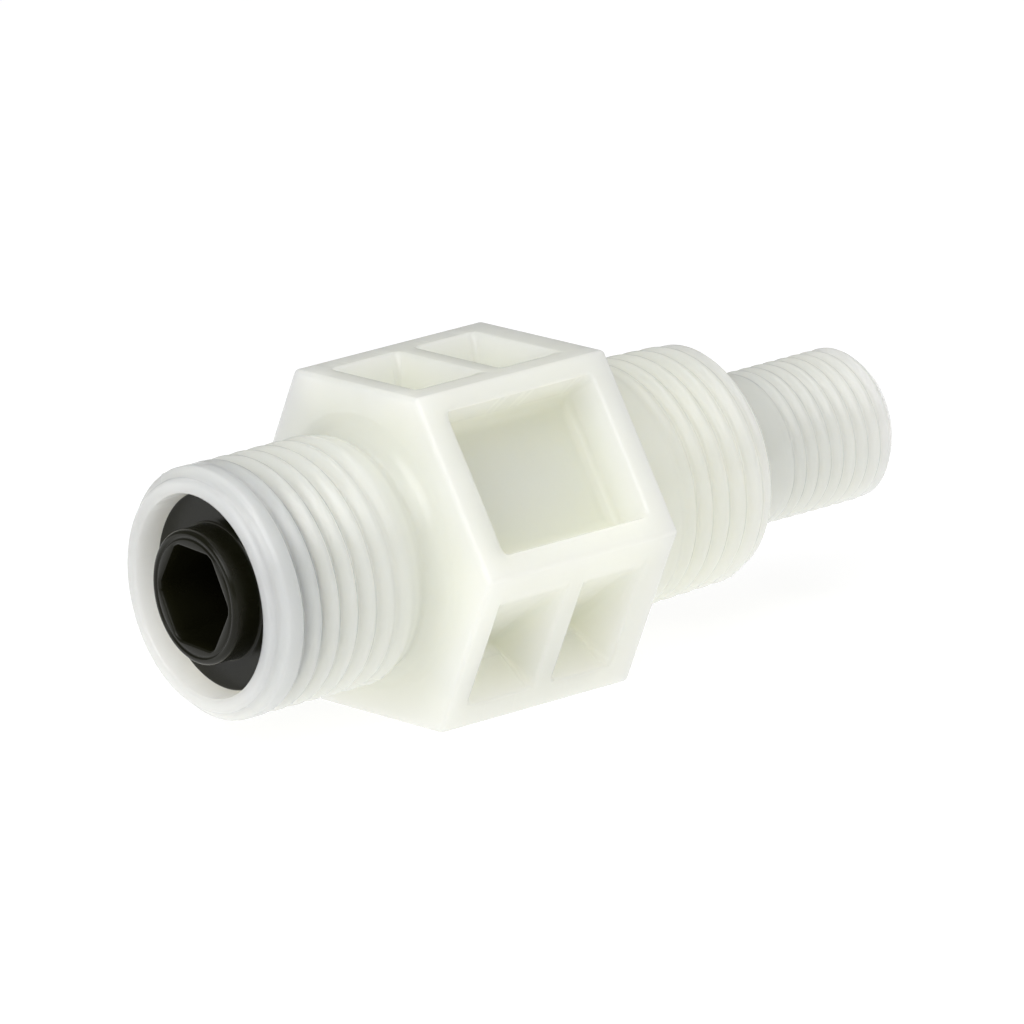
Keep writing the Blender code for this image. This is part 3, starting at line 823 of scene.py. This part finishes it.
def spring_steel():
    """The bare drawn wire of the return spring."""
    material, tree, shader, coordinates = node_material("spring_steel")
    shader.inputs["Metallic"].default_value = 1.0
    stain = noise(tree, coordinates, 600, 4)
    tint = ramp(tree, stain, [(0.3, (0.50, 0.49, 0.47)), (0.7, (0.63, 0.62, 0.60))])
    tree.links.new(tint, shader.inputs["Base Color"])
    drawn = noise(tree, coordinates, 5200, 3, stretch=(3, 1, 1))
    tree.links.new(spread(tree, drawn, 0.18, 0.34), shader.inputs["Roughness"])
    bump(tree, shader, drawn, 0.2, 0.000008)
    return material


def floor_material():
    """A pale table that glows softly, so that it stays white and casts light upwards."""
    material, tree, shader, coordinates = node_material("pale_floor")
    cloud = noise(tree, coordinates, 1.5, 2)
    tint = ramp(tree, cloud, [(0.3, (0.24, 0.24, 0.24)), (0.7, (0.26, 0.26, 0.26))])
    tree.links.new(tint, shader.inputs["Base Color"])
    shader.inputs["Roughness"].default_value = 0.9
    shader.inputs["Emission Color"].default_value = (1, 1, 1, 1)
    shader.inputs["Emission Strength"].default_value = TABLE_GLOW
    shader.inputs["Specular IOR Level"].default_value = 0.1
    return material


# ---------------------------------------------------------------- build

milky = milky_plastic()
black = black_plastic()
rubber = black_rubber()
ceramic = white_ceramic()
steel = spring_steel()

valve_body = loft(
    "body_moulding", outer_rings() + bore_rings(), "body", "valve_body", milky
)
insert = loft("seat_insert", retainer_rings(), "retainer", "seat_retainer", black)
loft(
    "flange_o_ring", seal_rings(FLANGE_SEAL), "flange_seal", "retainer_o_ring", rubber
)
loft("ball_seat_ring", seal_rings(SEAT_SEAL), "retainer", "seat_o_ring", rubber)

ball_low, ball_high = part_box("check_ball")
finish_piece(
    "valve_ball", ball_mesh((ball_low.x + ball_high.x) / 2), "ball", "check_ball", ceramic
)
spring_low, spring_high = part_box("return_spring")
spring = finish_piece(
    "coil_spring", spring_mesh(spring_low.x, spring_high.x), "body", "return_spring", steel
)
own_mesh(spring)

for piece in (valve_body, insert):
    weighted = piece.modifiers.new("even shading", "WEIGHTED_NORMAL")
    weighted.mode = "FACE_AREA"
    weighted.weight = 50


# ---------------------------------------------------------------- stage, light and camera

def add_floor():
    """A large plain table under the fitting."""
    mesh = bpy.data.meshes.new("floor")
    signs = ((-1, -1), (1, -1), (1, 1), (-1, 1))
    corners = [(TABLE_HALF * x, TABLE_HALF * y, cad_low.z) for x, y in signs]
    mesh.from_pydata(corners, [], [(0, 1, 2, 3)])
    mesh.materials.append(floor_material())
    floor = bpy.data.objects.new("floor", mesh)
    bpy.context.scene.collection.objects.link(floor)


def add_area(name, direction, distance, size, power):
    """A square softbox that faces the fitting from this direction."""
    data = bpy.data.lights.new(name, "AREA")
    data.shape = "SQUARE"
    data.size = size
    data.energy = power
    lamp = bpy.data.objects.new(name, data)
    bpy.context.scene.collection.objects.link(lamp)
    back = Vector(direction).normalized()
    lamp.location = back * distance
    lamp.rotation_mode = "QUATERNION"
    lamp.rotation_quaternion = (-back).to_track_quat("-Z", "Y")


def add_world():
    world = bpy.data.worlds.new("studio")
    world.use_nodes = True
    background = world.node_tree.nodes["Background"]
    background.inputs["Color"].default_value = (1.0, 1.0, 1.0, 1)
    background.inputs["Strength"].default_value = ROOM_LIGHT
    bpy.context.scene.world = world


def add_camera():
    """A long lens looking down a little at the hose end and the near side."""
    data = bpy.data.cameras.new("camera")
    data.sensor_width = 36
    data.lens = CAMERA_LENS
    data.clip_start = 0.01
    data.clip_end = 100
    camera = bpy.data.objects.new("camera", data)
    bpy.context.scene.collection.objects.link(camera)
    eye = Vector(CAMERA_EYE)
    aim = Vector(CAMERA_AIM)
    back = (eye - aim).normalized()
    right = Vector(CAMERA_RIGHT)
    right = (right - back * right.dot(back)).normalized()
    up = back.cross(right)
    turn = Matrix((right, up, back)).transposed()
    camera.matrix_world = Matrix.Translation(eye) @ turn.to_4x4()
    bpy.context.scene.camera = camera


add_floor()
add_world()
add_area("key", (-0.842, -0.151, 0.516), 0.6, 0.35, 1.6)
add_area("camera side", (-0.45, -0.7, 0.95), 1.0, 0.8, 3.6)
add_area("right", (1, -0.4, 0.4), 1.0, 0.8, 0.8)
add_area("top", (0.1, -0.1, 1.0), 1.0, 0.8, 3.1)
add_camera()
bpy.context.scene.view_settings.view_transform = "Standard"
